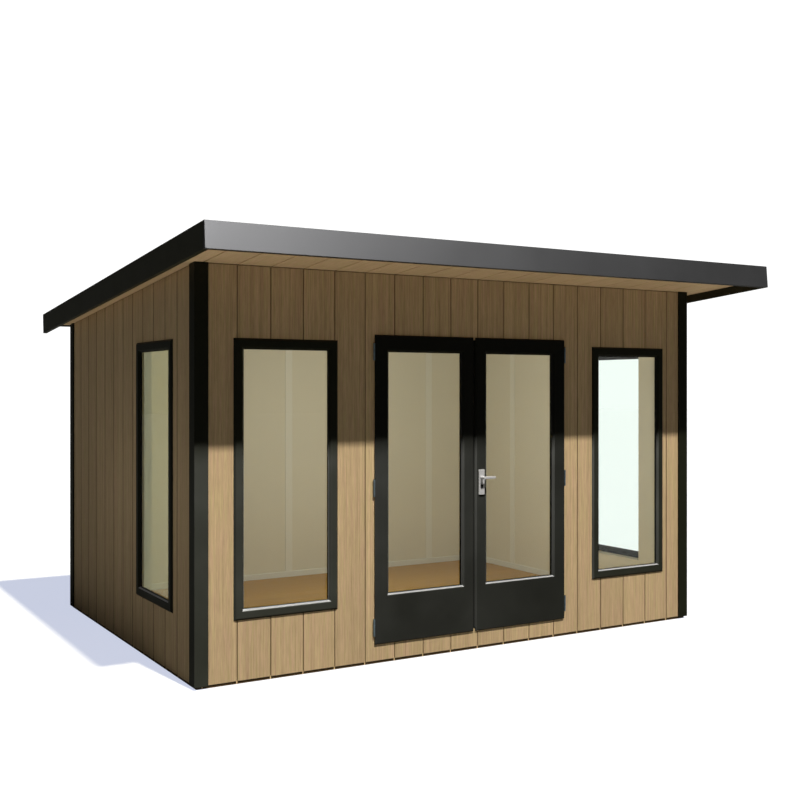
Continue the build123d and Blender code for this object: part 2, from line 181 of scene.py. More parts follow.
class PodFinishes(bpy.types.PropertyGroup):
    board: colour("Boards", "Face of the boards", 0.60, 0.43, 0.237)
    board_dark: colour("Board grain", "Dark grain of the boards", 0.29, 0.20, 0.106)
    # The joint colours darken the sides of the board joints: partly a stain, partly painted shade
    # in the grooves. The other walls' joints are much darker, painted shade for walls out of the
    # sun.
    joint: colour("Board joints", "Stain in the front joints", 0.30, 0.215, 0.115)
    painted_shade_joint: colour("Other joints", "Stain in the other joints", 0.06, 0.042, 0.022)
    key: colour("Joint keys", "Loose tongues under the joints", 0.85, 0.60, 0.30)
    soffit: colour("Soffit boards", "Face of the soffit boards", 0.62, 0.44, 0.245)
    soffit_dark: colour("Soffit grain", "Grain of the soffit boards", 0.44, 0.30, 0.155)
    floor: colour("Floor boards", "Face of the floor boards", 0.53, 0.31, 0.068)
    floor_dark: colour("Floor grain", "Grain of the floor boards", 0.41, 0.22, 0.045)
    timber: colour("Structural timber", "Treated sawn timber", 0.42, 0.22, 0.07)
    timber_dark: colour("Structural grain", "Grain of the timber", 0.24, 0.11, 0.035)
    # The base strip's dark brown is painted shade, standing in for the shadow under the boards.
    plinth_painted_shade: colour("Base strip", "Strip under the boards", 0.085, 0.050, 0.018)
    plinth_dark_painted_shade: colour("Base strip grain", "Grain of the base strip", 0.05, 0.028, 0.010)
    joinery: colour("Joinery paint", "Black of doors and door frame", 0.0044, 0.0046, 0.0026)
    trim: colour("Trim paint", "Black of trims and windows", 0.0088, 0.0095, 0.0045)
    # The side fascias' black is lighter than the trims': painted light.
    side_fascia: colour("Side fascia paint", "Black of the side fascias", 0.017, 0.0175, 0.0075)
    fascia: colour("Fascia metal", "Coated metal of the front fascia", 0.08, 0.08, 0.082)
    lining: colour("Wall lining", "Cream-faced lining panels", 0.76, 0.71, 0.56)
    cover: colour("Cover strips", "Strips over the lining joints", 0.81, 0.78, 0.67)
    skirting: colour("Skirting", "Painted skirting", 0.78, 0.77, 0.69)
    ceiling: colour("Ceiling", "Ceiling panel", 0.76, 0.73, 0.66)
    membrane: colour("Roof sheet", "Black rubber roof sheet", 0.022, 0.022, 0.023)
    plastic: colour("Gutter plastic", "Black plastic", 0.015, 0.015, 0.015)
    rubber: colour("Gasket rubber", "Glazing gaskets", 0.008, 0.008, 0.008)
    glass: colour("Glass tint", "Faint green of the panes", 0.93, 0.985, 0.955)
    glass_slant: colour("Glass at a slant", "Panes seen at a slant", 0.74, 0.78, 0.38)
    # Pale matte strip colour: a painted highlight on the splay under each pane.
    strip: colour("Strip metal", "Anodised strips under the panes", 0.27, 0.27, 0.275)
    handle: colour("Handle metal", "Satin aluminium handles", 0.52, 0.51, 0.51)
    hinge: colour("Hinge steel", "Blue-grey steel hinges", 0.22, 0.29, 0.34)


# Shader nodes ------------------------------------

def feed(tree, socket, value):
    """Links an output to a socket, or sets the socket's own value."""
    if isinstance(value, bpy.types.NodeSocket):
        tree.links.new(value, socket)
    else:
        socket.default_value = value


def add_node(tree, kind, inputs, **settings):
    """A shader node with its settings, and its inputs fed by outputs or plain values."""
    node = tree.nodes.new("ShaderNode" + kind)
    for name, value in settings.items():
        setattr(node, name, value)
    for socket, value in inputs.items():
        feed(tree, node.inputs[socket], value)
    return node


def math_node(tree, operation, first, second, clamp=False):
    """One sum, such as ADD or MULTIPLY, on two outputs or numbers."""
    return add_node(tree, "Math", {0: first, 1: second}, operation=operation,
                    use_clamp=clamp).outputs[0]


def range_node(tree, value, low, high, to_low=0.0, to_high=1.0):
    """A value taken from one range to another, clamped."""
    return add_node(tree, "MapRange", {"Value": value, "From Min": low, "From Max": high,
                                       "To Min": to_low, "To Max": to_high}).outputs[0]


def mix_colour(tree, factor, first, second, blend="MIX"):
    """Two colours mixed by a factor."""
    return add_node(tree, "Mix", {0: factor, 6: first, 7: second}, data_type="RGBA",
                    blend_type=blend).outputs[2]


def scaled(tree, shade, factor):
    """A colour made lighter or darker by a factor."""
    return add_node(tree, "VectorMath", {0: shade, "Scale": factor}, operation="SCALE").outputs[0]


def stretched_noise(tree, vector, scale, detail, roughness):
    """Noise whose cells are stretched by the three parts of scale."""
    place = add_node(tree, "Mapping", {"Vector": vector, "Scale": scale}).outputs[0]
    return add_node(tree, "TexNoise", {"Vector": place, "Scale": 1.0, "Detail": detail,
                                       "Roughness": roughness}).outputs[0]


def new_group(name, **inputs):
    """An empty shader group, what it is given, and its three results."""
    group = bpy.data.node_groups.new(name, "ShaderNodeTree")
    results = {"Color": "Color", "Roughness": "Float", "Height": "Float"}
    for in_out, sockets in (("INPUT", inputs), ("OUTPUT", results)):
        for socket, kind in sockets.items():
            group.interface.new_socket(socket, in_out=in_out, socket_type="NodeSocket" + kind)
    given = group.nodes.new("NodeGroupInput").outputs
    return group, given, group.nodes.new("NodeGroupOutput").inputs


def wood_grain_group():
    """Grain along Z of its vector: fine lines, broad streaks and a tone of each board's own."""
    group, given, results = new_group("Wood grain", Vector="Vector", Board="Float", Face="Color",
                                      Grain="Color", Tone="Float", Streaks="Float", Shade="Float")
    apart = (31.0, 17.0, 23.0)
    place = add_node(group, "VectorMath", {0: given["Board"], 1: apart, 2: given["Vector"]},
                     operation="MULTIPLY_ADD").outputs[0]
    fine = stretched_noise(group, place, (230.0, 230.0, 9.0), 3.0, 0.7)
    lines = stretched_noise(group, place, (110.0, 110.0, 0.9), 5.0, 0.62)
    broad = stretched_noise(group, place, (26.0, 26.0, 0.45), 2.0, 0.5)
    hue = stretched_noise(group, place, (110.0, 110.0, 4.0), 3.0, 0.6)
    blend = math_node(group, "ADD", range_node(group, lines, 0.36, 0.68, 0.0, 0.42),
                      range_node(group, broad, 0.3, 0.7, 0.0, 0.18))
    blend = math_node(group, "ADD", blend, range_node(group, fine, 0.35, 0.65, 0.0, 0.40))
    factor = math_node(group, "MULTIPLY", blend, given["Streaks"], clamp=True)
    grained = mix_colour(group, factor, given["Face"], given["Grain"])
    cool, warm = (0.96, 1.02, 0.93, 1.0), (1.04, 0.98, 1.07, 1.0)
    tint = mix_colour(group, range_node(group, hue, 0.35, 0.65), cool, warm)
    grained = mix_colour(group, 1.0, grained, tint, "MULTIPLY")
    white = add_node(group, "TexWhiteNoise", {"W": given["Board"]}, noise_dimensions="1D")
    half_tone = math_node(group, "MULTIPLY", given["Tone"], 0.5)
    tone = range_node(group, white.outputs["Value"], 0.0, 1.0,
                      math_node(group, "SUBTRACT", 1.0, half_tone),
                      math_node(group, "ADD", 1.0, half_tone))
    # Painted shade: the colour darkens towards Z 0, and the darkening fades out higher up.
    height = add_node(group, "SeparateXYZ", {0: given["Vector"]}).outputs["Z"]
    painted_shade_at_foot = math_node(group, "SUBTRACT", 1.0, given["Shade"])
    tone = math_node(group, "MULTIPLY", tone,
                     range_node(group, height, 0.0, PAINTED_SHADE_REACH, painted_shade_at_foot, 1.0))
    group.links.new(scaled(group, grained, tone), results["Color"])
    group.links.new(range_node(group, lines, 0.3, 0.7, 0.62, 0.78), results["Roughness"])
    level = math_node(group, "ADD", lines, math_node(group, "MULTIPLY", fine, 0.4))
    group.links.new(level, results["Height"])


def coating_group():
    """A painted or coated face: a faint mottle of the colour, the sheen and the level."""
    group, given, results = new_group("Coating", Vector="Vector", Coat="Color", Mottle="Float",
                                      Smooth="Float", Rough="Float")
    cloud = stretched_noise(group, given["Vector"], (3.0, 3.0, 3.0), 4.0, 0.55)
    peel = stretched_noise(group, given["Vector"], (420.0, 420.0, 420.0), 2.0, 0.5)
    lighter = scaled(group, given["Coat"], math_node(group, "ADD", 1.0, given["Mottle"]))
    mottled = mix_colour(group, range_node(group, cloud, 0.3, 0.7), given["Coat"], lighter)
    sheen = range_node(group, cloud, 0.3, 0.7, given["Smooth"], given["Rough"])
    group.links.new(mottled, results["Color"])
    group.links.new(sheen, results["Roughness"])
    group.links.new(peel, results["Height"])


# Materials ---------------------------------------

def new_material(name):
    """The node tree of a new material, and its Principled shader."""
    material = bpy.data.materials.new(name)
    material.use_nodes = True
    return material.node_tree, material.node_tree.nodes["Principled BSDF"]


def patterned(tree, shader, group_name, values, plain, bump, depth):
    """Colours, roughens and lifts a shader by a group, and sets its plain values."""
    group = add_node(tree, "Group", values, node_tree=bpy.data.node_groups[group_name])
    lift = add_node(tree, "Bump", {"Strength": bump, "Distance": depth,
                                   "Height": group.outputs["Height"]})
    inputs = {"Base Color": group.outputs["Color"], "Roughness": group.outputs["Roughness"],
              "Normal": lift.outputs[0], **plain}
    for socket, value in inputs.items():
        feed(tree, shader.inputs[socket], value)


# shade darkens the colour towards Z 0: painted shade at the foot.
def wood(name, face, grain, turn=(0.0, 0.0, 0.0), tone=0.1, streaks=0.7, shade=0.0):
    """Timber whose grain runs along Z after the turn."""
    tree, shader = new_material(name)
    place = add_node(tree, "TexCoord", {}).outputs["Object"]
    turned = add_node(tree, "Mapping", {"Vector": place, "Rotation": turn})
    board = add_node(tree, "Attribute", {}, attribute_name="board")
    values = {"Vector": turned.outputs[0], "Board": board.outputs["Fac"], "Face": (*face, 1.0),
              "Grain": (*grain, 1.0), "Tone": tone, "Streaks": streaks, "Shade": shade}
    patterned(tree, shader, "Wood grain", values, {"Specular IOR Level": 0.25}, 0.25, mm(0.6))


def coated(name, coat, smooth, rough, mottle=0.15, specular=0.5, metallic=0.0, bump=0.06):
    """Paint, plastic, rubber or coated metal."""
    tree, shader = new_material(name)
    place = add_node(tree, "TexCoord", {}).outputs["Object"]
    values = {"Vector": place, "Coat": (*coat, 1.0), "Mottle": mottle, "Smooth": smooth,
              "Rough": rough}
    plain = {"Specular IOR Level": specular, "Metallic": metallic}
    patterned(tree, shader, "Coating", values, plain, bump, mm(0.3))


def pane_glass(name, tint, slant_tint):
    """A clear pane, smooth on both faces, more tinted when seen at a slant."""
    tree, shader = new_material(name)
    facing = add_node(tree, "LayerWeight", {}).outputs["Facing"]
    slant = range_node(tree, facing, 0.35, 0.7)
    inputs = {"Base Color": mix_colour(tree, slant, (*tint, 1.0), (*slant_tint, 1.0)),
              "Roughness": 0.0, "IOR": 1.45, "Transmission Weight": 1.0}
    for socket, value in inputs.items():
        feed(tree, shader.inputs[socket], value)


def make_materials(finishes):
    """Every finish of the pod, by name."""
    wood_grain_group()
    coating_group()
    along_y = (math.radians(90), 0.0, 0.0)
    along_x = (0.0, math.radians(90), 0.0)
    # The boards' colour is darkened towards their foot by 0.19: painted shade.
    wood("Cladding board", finishes.board, finishes.board_dark, streaks=0.95, shade=0.19)
    # Joint sides: a stain with painted shade in the grooves; the other walls' joints carry darker
    # painted shade.
    wood("Board joint", finishes.joint, finishes.board_dark, streaks=0.5)
    wood("Shaded board joint", finishes.painted_shade_joint, finishes.plinth_dark_painted_shade, streaks=0.5)
    wood("Joint key", finishes.key, finishes.board, streaks=0.3)
    wood("Soffit board", finishes.soffit, finishes.soffit_dark, along_y)
    wood("Floor board", finishes.floor, finishes.floor_dark, along_x, 0.12)
    wood("Treated timber", finishes.timber, finishes.timber_dark, along_x, streaks=0.8)
    # Dark base strip: painted shade for the shadow under the boards.
    wood("Base strip", finishes.plinth_painted_shade, finishes.plinth_dark_painted_shade, along_x, streaks=0.8)
    coated("Window paint", finishes.trim, 0.44, 0.52, specular=0.13)
    coated("Door paint", finishes.joinery, 0.44, 0.52, specular=0.13)
    coated("Door frame paint", finishes.joinery, 0.5, 0.58, specular=0.13)
    coated("Trim paint", finishes.trim, 0.44, 0.52, specular=0.12)
    coated("Fascia metal", finishes.fascia, 0.42, 0.46, 0.05, metallic=0.9, bump=0.03)
    # A lighter black than the trims: painted light on the side fascias.
    coated("Side fascia paint", finishes.side_fascia, 0.46, 0.54, specular=0.3)
    coated("Gutter plastic", finishes.plastic, 0.3, 0.4)
    coated("Roof rubber", finishes.membrane, 0.62, 0.8, 0.5, 0.3, bump=0.3)
    coated("Gasket rubber", finishes.rubber, 0.5, 0.6, specular=0.3)
    coated("Lining panel", finishes.lining, 0.55, 0.7, 0.03, 0.3, bump=0.2)
    coated("Cover strip", finishes.cover, 0.5, 0.65, 0.03, 0.3, bump=0.1)
    coated("Ceiling panel", finishes.ceiling, 0.6, 0.75, 0.03, 0.3, bump=0.2)
    coated("Skirting paint", finishes.skirting, 0.4, 0.5, 0.04, 0.4)
    # A pale, matte, not metallic strip: painted highlight.
    coated("Strip metal", finishes.strip, 0.6, 0.7, 0.04, 0.02, bump=0.02)
    coated("Handle metal", finishes.handle, 0.34, 0.42, 0.06, metallic=0.35, bump=0.05)
    coated("Hinge steel", finishes.hinge, 0.32, 0.40, 0.1, metallic=0.8, bump=0.04)
    pane_glass("Clear glass", finishes.glass, finishes.glass_slant)


def paint_nodes(material_name, *nodes):
    """Gives CAD nodes a finish."""
    for name in nodes:
        materials = frame["nodes"][name].data.materials
        materials.clear()
        materials.append(bpy.data.materials[material_name])


# Mesh helpers ------------------------------------

def move(shape, place):
    """Moves a shape by a matrix."""
    bmesh.ops.transform(shape, matrix=place, verts=shape.verts[:])


def finish_piece(name, shape, material_names, slot, *nodes, body="pod", place=STAY):
    """Turns a bmesh into a piece that rides on a body and stands for CAD nodes."""
    move(shape, place)
    face_out(shape)
    mesh = bpy.data.meshes.new(name)
    shape.to_mesh(mesh)
    shape.free()
    piece = bpy.data.objects.new(name, mesh)
    bpy.context.scene.collection.objects.link(piece)
    for material_name in material_names:
        mesh.materials.append(bpy.data.materials[material_name])
    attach(piece, body)
    if nodes:
        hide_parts(*nodes)


def add_shape(whole, shape, place=STAY, board=0.0, material=0, smooth=False):
    """Moves a shape into the whole, with its board number, material and shading."""
    move(shape, place)
    for face in shape.faces:
        face.material_index = max(face.material_index, material)
        face.smooth = smooth
    layer = shape.verts.layers.float.new("board")
    for vertex in shape.verts:
        vertex[layer] = board
    mesh = bpy.data.meshes.new("passing")
    shape.to_mesh(mesh)
    shape.free()
    whole.from_mesh(mesh)
    bpy.data.meshes.remove(mesh)


def plain_piece(name, shapes, material, slot, *nodes, place=STAY, chance=None):
    """A piece of one finish, made of shapes that draw their board numbers by chance."""
    whole = bmesh.new()
    for shape in shapes:
        add_shape(whole, shape, place, chance.uniform(*BOARD_TONES) if chance else 0.0)
    finish_piece(name, whole, [material], slot, *nodes)


def face_out(shape):
    """Turns the faces of closed shapes outwards."""
    bmesh.ops.recalc_face_normals(shape, faces=shape.faces[:])


def bevel(shape, geometry, offset, segments, affect="EDGES", clamp=False):
    """Bevels edges or corners."""
    bmesh.ops.bevel(shape, geom=geometry, offset=offset, offset_type="OFFSET", segments=segments,
                    profile=0.5, affect=affect, material=-1, clamp_overlap=clamp)


def soften(shape, radius, segments=2, sharper_than=30.0):
    """Rounds every edge where two faces meet at more than an angle."""
    least = math.radians(sharper_than)
    edges = [e for e in shape.edges if e.is_manifold and e.calc_face_angle(0.0) > least]
    bevel(shape, edges, radius, segments, clamp=True)


def bar(x_range, y_range, z_range, radius=0.0, segments=2):
    """A straight bar between six planes, with rounded edges."""
    shape = bmesh.new()
    bmesh.ops.create_cube(shape, size=1.0)
    ranges = (x_range, y_range, z_range)
    bmesh.ops.scale(shape, vec=[high - low for low, high in ranges], verts=shape.verts[:])
    middle = [(low + high) / 2 for low, high in ranges]
    bmesh.ops.translate(shape, vec=middle, verts=shape.verts[:])
    if radius:
        soften(shape, radius, segments)
    return shape


def round_bar(radius, z_range, steps, edge, end_radius=None):
    """An upright round bar, or a cone to its end radius, with rounded ends."""
    shape = bmesh.new()
    bmesh.ops.create_cone(shape, cap_ends=True, cap_tris=False, segments=steps, radius1=radius,
                          radius2=end_radius or radius, depth=z_range[1] - z_range[0])
    bmesh.ops.translate(shape, vec=(0.0, 0.0, sum(z_range) / 2), verts=shape.verts[:])
    soften(shape, edge, 2, 40.0)
    return shape


def shrunk(low_high, lap):
    """A range made smaller by a lap at both ends."""
    return low_high[0] + lap, low_high[1] - lap


def rectangle(x_range, y_range, shrink):
    """The X and Y ranges of a rectangle, made smaller all round."""
    return shrunk(x_range, shrink), shrunk(y_range, shrink)


def both_sides(near, far):
    """A range of X on the left of the middle, and the same on the right."""
    return (-far, -near), (near, far)


def round_corners(x_range, y_range):
    """The four corners of a rectangle, in order round it."""
    (left, right), (low, high) = x_range, y_range
    return [(left, low), (right, low), (right, high), (left, high)]


def flat_face(corners):
    """A shape with one flat face at Z 0 through the corners."""
    shape = bmesh.new()
    shape.faces.new([shape.verts.new((x, y, 0.0)) for x, y in corners])
    return shape


def raise_faces(shape, faces, height):
    """Extrudes flat faces up Z and returns the new top faces."""
    geometry = bmesh.ops.extrude_face_region(shape, geom=faces)["geom"]
    top = [g for g in geometry if isinstance(g, bmesh.types.BMFace)]
    corners = list({v for face in top for v in face.verts})
    bmesh.ops.translate(shape, vec=(0.0, 0.0, height), verts=corners)
    return top


def rim(faces):
    """The edges of some faces."""
    return list({edge for face in faces for edge in face.edges})


def slice_at(shape, point, normal, clear=False):
    """Cuts a shape along a plane, and clears what lies beyond it if asked."""
    everything = shape.verts[:] + shape.edges[:] + shape.faces[:]
    return bmesh.ops.bisect_plane(shape, geom=everything, dist=TOUCH, plane_co=point,
                                  plane_no=normal, clear_outer=clear)["geom_cut"]


def cut_rectangle(shape, x_range, y_range):
    """Takes a rectangle out of flat faces."""
    for x in x_range:
        slice_at(shape, (x, 0.0, 0.0), (1.0, 0.0, 0.0))
    for y in y_range:
        slice_at(shape, (0.0, y, 0.0), (0.0, 1.0, 0.0))
    inside = []
    for face in shape.faces:
        centre = face.calc_center_median()
        if x_range[0] < centre.x < x_range[1] and y_range[0] < centre.y < y_range[1]:
            inside.append(face)
    bmesh.ops.delete(shape, geom=inside, context="FACES")


def nested_frame(loops):
    """A closed frame whose section passes through rectangles, each at its own level."""
    ranges, level = loops[0]
    middle_x, middle_y = (sum(limits) / 2 for limits in ranges)
    shape = bmesh.new()
    verts = [shape.verts.new((x, y, level)) for x, y in round_corners(*ranges)]
    edges = [shape.edges.new(pair) for pair in zip(verts, verts[1:] + verts[:1])]
    for (x_range, y_range), level in loops[1:] + loops[:1]:
        made = bmesh.ops.extrude_edge_only(shape, edges=edges)["geom"]
        fresh = {part for part in made if isinstance(part, bmesh.types.BMVert)}
        edges = [part for part in made
                 if isinstance(part, bmesh.types.BMEdge) and set(part.verts) <= fresh]
        for vertex in fresh:
            right, above = vertex.co.x > middle_x, vertex.co.y > middle_y
            vertex.co = (x_range[right], y_range[above], level)
    bmesh.ops.remove_doubles(shape, verts=shape.verts[:], dist=TOUCH)
    face_out(shape)
    return shape


def flat_ring(outer, inner, low, high):
    """A flat ring between two rectangles and two levels."""
    return nested_frame([(outer, low), (outer, high), (inner, high), (inner, low)])


def mitred_bars(outer, inner, thickness, radius):
    """Four bars mitred at the corners, as separate shapes raised from Z 0."""
    far, near = round_corners(*outer), round_corners(*inner)
    for i in range(4):
        after = (i + 1) % 4
        shape = flat_face([far[i], far[after], near[after], near[i]])
        raise_faces(shape, shape.faces[:], thickness)
        face_out(shape)
        soften(shape, radius)
        yield shape


def prism(corners, x_range, radius):
    """An outline in Y and Z, run along X, with rounded edges."""
    shape = flat_face(corners)
    raise_faces(shape, shape.faces[:], x_range[1] - x_range[0])
    turn = Matrix(((0, 0, 1, x_range[0]), (1, 0, 0, 0), (0, 1, 0, 0), (0, 0, 0, 1)))
    move(shape, turn)
    face_out(shape)
    soften(shape, radius)
    return shape


def outward(origin, along, out):
    """The place of a drawing in XY: X goes along, Y goes up and Z points out."""
    place = Matrix((along, (0.0, 0.0, 1.0), out)).transposed().to_4x4()
    place.translation = origin
    return place


def wall_place(side, distance):
    """The place of a wall's own drawing, at a distance from the pod's middle."""
    along, out = WALLS[side]
    return outward(Vector(out) * distance, along, out)


def drawn(side, node):
    """A node's ranges in its wall's own X and Y."""
    across, depth, up = spans(node)
    low, high = across if side in ("front", "back") else depth
    return ((low, high) if side in ("front", "right") else (-high, -low)), up


def soffit_height(y):
    """Height of the soffit's lower face."""
    slope = bpy.context.scene.pod_sizes.roof_slope
    return FRONT_WALL_TOP - (y - BOARD_FRONT) * math.tan(slope)


def roof_place():
    """The roof's own frame: Y runs down the slope from the front fascia's foot, Z square to it."""
    sizes = bpy.context.scene.pod_sizes
    edge = soffit_height(ROOF_FRONT) - sizes.fascia_lip / math.cos(sizes.roof_slope)
    turn = Matrix.Rotation(-sizes.roof_slope, 4, "X")
    return Matrix.Translation((0.0, ROOF_FRONT, edge)) @ turn


# Boards ------------------------------------------

def board_edges(x_range, first_joint, cover):
    """Where boards begin and end between two edges."""
    start, end = x_range
    least = mm(1)
    joints = [first_joint + i * cover for i in range(int((end - start) / cover) + 2)]
    edges = [start] + [j for j in joints if start + least < j < end - least] + [end]
    return zip(edges[:-1], edges[1:])


def raise_board(shape, tongue, gap, thickness, chamfer):
    """Raises a flat outline to a full-width tongue, then to a narrower, chamfered face."""
    bmesh.ops.dissolve_limit(shape, angle_limit=math.radians(1), verts=shape.verts[:],
                             edges=shape.edges[:])
    top = raise_faces(shape, shape.faces[:], tongue)
    face_out(shape)
    bmesh.ops.inset_region(shape, faces=top, thickness=gap / 2, use_boundary=True,
                           use_even_offset=True)
    top = raise_faces(shape, top, thickness - tongue)
    face_out(shape)
    bevel(shape, rim(top), chamfer, 1)


def wall_board(x_range, y_range, holes, cut, sizes):
    """One board with its holes and its slanting top. Its joint faces take the second material."""
    shape = flat_face(round_corners(x_range, y_range))
    if cut:
        slice_at(shape, *cut, clear=True)
    for (near, far), hole_y in holes:
        if near < x_range[1] - SLIVER and far > x_range[0] + SLIVER:
            near = near if near > x_range[0] + SLIVER else x_range[0] - SLIVER
            far = far if far < x_range[1] - SLIVER else x_range[1] + SLIVER
            cut_rectangle(shape, (near, far), hole_y)
    thickness, margin = CORE_FRONT - BOARD_FRONT, mm(0.8)
    raise_board(shape, sizes.tongue, sizes.joint_gap, thickness, sizes.joint_chamfer)
    # Joint faces take the second material, a darker colour: stain and painted shade in the
    # grooves.
    for face in shape.faces:
        level = face.calc_center_median().z
        if sizes.tongue + margin < level < thickness - margin:
            face.material_index = 1
    return shape


def board_wall(side, distance, seed, joint, x_range, top, first_joint, holes=(), cut=None):
    """All the boards of one wall as one piece, with a loose tongue at the foot of each joint."""
    sizes = bpy.context.scene.pod_sizes
    place = wall_place(side, distance)
    half = sizes.joint_key / 2
    key_y, key_z = (mm(2), BOARD_FOOT + mm(4)), (0.0, sizes.tongue + sizes.key_reach)
    whole = bmesh.new()
    chance = random.Random(seed)
    for left, right in board_edges(x_range, first_joint, sizes.board_cover):
        shape = wall_board((left, right), (BOARD_FOOT, top), holes, cut, sizes)
        add_shape(whole, shape, place, chance.uniform(*BOARD_TONES))
        if right < x_range[1]:
            key = bar((right - half, right + half), key_y, key_z, mm(0.5), 1)
            add_shape(whole, key, place, 1.0, material=2)
    finish_piece("cladding_boards_" + side, whole, ["Cladding board", joint, "Joint key"],
                 "cladding_board", "cladding_" + side)


class POD_OT_cladding(bpy.types.Operator):
    """Board the four walls with upright boards, cut round the windows and the doorway"""
    bl_idname = "garden_pod.cladding"
    bl_label = "Cladding boards"

    def execute(self, context):
        sizes = context.scene.pod_sizes
        slope, lap, cover = sizes.roof_slope, sizes.window_lap, sizes.board_cover
        holes = [rectangle(*drawn("front", "window_frame_front_" + end), lap)
                 for end in ("left", "right")]
        holes.append(rectangle((-LEAF_X[1], LEAF_X[1]), LEAF_Z, sizes.leaf_lap))
        joint = -SIDE_FACE + sizes.front_joint
        board_wall("front", -CORE_FRONT, 11, "Board joint", BOARD_X, soffit_height(CORE_FRONT),
                   joint, holes)
        # The back and side walls' joints carry darker painted shade.
        dark = "Shaded board joint"
        board_wall("back", CORE_BACK, 12, dark, BOARD_X, soffit_height(BOARD_BACK), joint)
        high = soffit_height(CORE_FRONT) + cover
        joint = BOARD_FRONT + sizes.side_joint
        count = math.ceil((CORE_BACK - joint) / cover)
        for side, sign, seed, x_range, first in (
            ("right", 1, 13, (CORE_FRONT, CORE_BACK), joint),
            ("left", -1, 14, (-CORE_BACK, -CORE_FRONT), -joint - count * cover),
        ):
            cut = ((0.0, soffit_height(0.0), 0.0), (sign * math.sin(slope), math.cos(slope), 0.0))
            hole = rectangle(*drawn(side, "window_frame_" + side), lap)
            board_wall(side, CORE_SIDE, seed, dark, x_range, high, first, [hole], cut)
        return {"FINISHED"}


class POD_OT_soffit(bpy.types.Operator):
    """Board the underside of the roof overhangs with boards that run front to back"""
    bl_idname = "garden_pod.soffit"
    bl_label = "Soffit boards"

    def execute(self, context):
        sizes = context.scene.pod_sizes
        across, depth, _ = spans("soffit")
        start, end, core_start, core_end = (
            (y - ROOF_FRONT) / math.cos(sizes.roof_slope) for y in (*depth, CORE_FRONT, CORE_BACK))
        top = Matrix.Translation((0.0, 0.0, sizes.fascia_lip + sizes.soffit_board))
        place = roof_place() @ top @ Matrix.Rotation(math.pi, 4, "X")
        boards = []
        first = -SIDE_FACE + sizes.front_joint + sizes.soffit_shift - sizes.board_cover
        for left, right in board_edges(across, first, sizes.board_cover):
            board = flat_face(round_corners((left, right), (-end, -start)))
            if left < CORE_SIDE and right > -CORE_SIDE:
                cut_rectangle(board, (-CORE_SIDE, CORE_SIDE), (-core_end, -core_start))
            raise_board(board, sizes.soffit_tongue, sizes.soffit_joint, sizes.soffit_board,
                        sizes.joint_chamfer)
            boards.append(board)
        plain_piece("soffit_boards", boards, "Soffit board", "soffit_board", "soffit",
                    place=place, chance=random.Random(21))
        return {"FINISHED"}


class POD_OT_floor(bpy.types.Operator):
    """Lay the floor boards and the timber base under them"""
    bl_idname = "garden_pod.floor"
    bl_label = "Floor and base"

    def execute(self, context):
        sizes = context.scene.pod_sizes
        chance = random.Random(31)
        across, (start, end), up = spans("floor_deck")
        count = round((end - start) / sizes.floor_board)
        width, half_gap = (end - start) / count, mm(0.3)
        edges = [start + i * width for i in range(count + 1)]
        boards = [bar(across, (near + half_gap, far - half_gap), up, mm(1.2), 1)
                  for near, far in zip(edges[:-1], edges[1:])]
        plain_piece("floor_boards", boards, "Floor board", "floor_board", "floor_deck",
                    chance=chance)
        across, _, up = spans("floor_bearers")
        vertices = frame["nodes"]["floor_bearers"].data.vertices
        faces = sorted({round(vertex.co.y, 4) for vertex in vertices})
        bearers = [bar(across, y_range, up, mm(2), 1) for y_range in zip(faces[0::2], faces[1::2])]
        plain_piece("base_bearers", bearers, "Treated timber", "treated_timber", "floor_bearers",
                    chance=chance)
        outer = rectangle((-SIDE_FACE, SIDE_FACE), (BOARD_FRONT, BOARD_BACK), sizes.base_recess)
        inner = rectangle((-CORE_SIDE, CORE_SIDE), (CORE_FRONT, CORE_BACK), mm(2))
        strips = mitred_bars(outer, inner, sizes.base_strip, mm(0.6))
        # The base strip's dark colour is painted shade under the boards.
        plain_piece("base_strip", strips, "Base strip", "treated_timber", chance=chance)
        return {"FINISHED"}


# Lining ------------------------------------------

class POD_OT_lining(bpy.types.Operator):
    """Finish the room: lining, strips over its joints, skirting and ceiling"""
    bl_idname = "garden_pod.lining"
    bl_label = "Room lining"

    def execute(self, context):
        sizes = context.scene.pod_sizes
        paint_nodes("Lining panel", "front_wall_left", "front_wall_right", "front_wall_header",
                    "left_wall", "right_wall", "back_wall")
        paint_nodes("Ceiling panel", "roof_panel")
        foot, skirting_top = spans("skirting")[2]
        half, proud, rounding = sizes.cover_strip / 2, sizes.strip_proud, mm(1.5)
        up = (skirting_top, soffit_height(ROOM_BACK))
        strips = [bar((x - half, x + half), (ROOM_BACK - proud, ROOM_BACK), up, rounding)
                  for x in BACK_STRIPS]
        up = (skirting_top, soffit_height(SIDE_STRIP + half))
        strips += [bar(x_range, (SIDE_STRIP - half, SIDE_STRIP + half), up, rounding)
                   for x_range in both_sides(ROOM_SIDE - proud, ROOM_SIDE)]
        plain_piece("lining_cover_strips", strips, "Cover strip", "wall_lining")
        thick, jamb = sizes.skirting, spans("door_jamb_right")[0][1]
        along_side, along_front = (ROOM_FRONT, ROOM_BACK - thick), (ROOM_FRONT, ROOM_FRONT + thick)
        runs = [((-ROOM_SIDE, ROOM_SIDE), (ROOM_BACK - thick, ROOM_BACK))]
        runs += [(x_range, along_side) for x_range in both_sides(ROOM_SIDE - thick, ROOM_SIDE)]
        runs += [(x_range, along_front) for x_range in both_sides(jamb, ROOM_SIDE - thick)]
        boards = [bar(*run, (foot, skirting_top), mm(2.5), 3) for run in runs]
        plain_piece("skirting_boards", boards, "Skirting paint", "skirting_paint", "skirting")
        return {"FINISHED"}


# Windows -----------------------------------------

